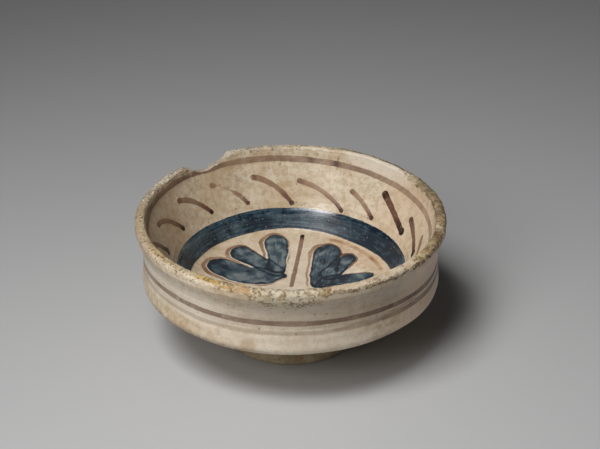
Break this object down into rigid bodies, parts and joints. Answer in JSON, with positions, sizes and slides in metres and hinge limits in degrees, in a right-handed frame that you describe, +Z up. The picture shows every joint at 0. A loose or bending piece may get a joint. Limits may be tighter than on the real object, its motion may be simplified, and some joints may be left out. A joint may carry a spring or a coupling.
{
  "type": "painted ceramic bowl",
  "caption": "Small round tin-glazed bowl with a thick chipped lip, a waisted wall and a ring foot, painted inside with slanting strokes, a blue band and quartered leaves.",
  "frame": {"origin": "centre of the resting face of the foot ring", "axes": "+Z up along the bowl's axis of turning, +Y towards the far side of the rim, which has the bite, +X to the viewer's right"},
  "size_m": [0.14, 0.14, 0.0615],
  "materials": {
    "bare_clay": "worn bare earthenware",
    "white_glaze": "satin cream tin glaze",
    "brown_slip": "satin manganese brown",
    "blue_slip": "glossy dark cobalt blue in relief"
  },
  "bodies": {
    "root": {"clay_body": "bare_clay", "foot_ring": "bare_clay", "inner_glaze": "white_glaze", "outer_glaze": "white_glaze", "blue_band": "blue_slip", "back_left_leaf": "blue_slip", "back_right_leaf": "blue_slip", "front_left_leaf": "blue_slip", "front_right_leaf": "blue_slip", "inner_rim_line": "brown_slip", "outer_upper_line": "brown_slip", "outer_lower_line": "brown_slip", "back_divider": "brown_slip", "front_divider": "brown_slip", "band_stroke": "brown_slip", "slanting_stroke_01": "brown_slip", "slanting_stroke_02": "brown_slip", "slanting_stroke_03": "brown_slip", "slanting_stroke_04": "brown_slip", "slanting_stroke_05": "brown_slip", "slanting_stroke_06": "brown_slip", "slanting_stroke_07": "brown_slip", "slanting_stroke_08": "brown_slip", "slanting_stroke_09": "brown_slip", "slanting_stroke_10": "brown_slip", "slanting_stroke_11": "brown_slip", "slanting_stroke_12": "brown_slip", "slanting_stroke_13": "brown_slip", "slanting_stroke_14": "brown_slip", "slanting_stroke_15": "brown_slip", "slanting_stroke_16": "brown_slip", "back_left_leaf_line": "brown_slip", "back_right_leaf_line": "brown_slip", "front_left_leaf_line": "brown_slip", "front_right_leaf_line": "brown_slip"}
  },
  "joints": []
}
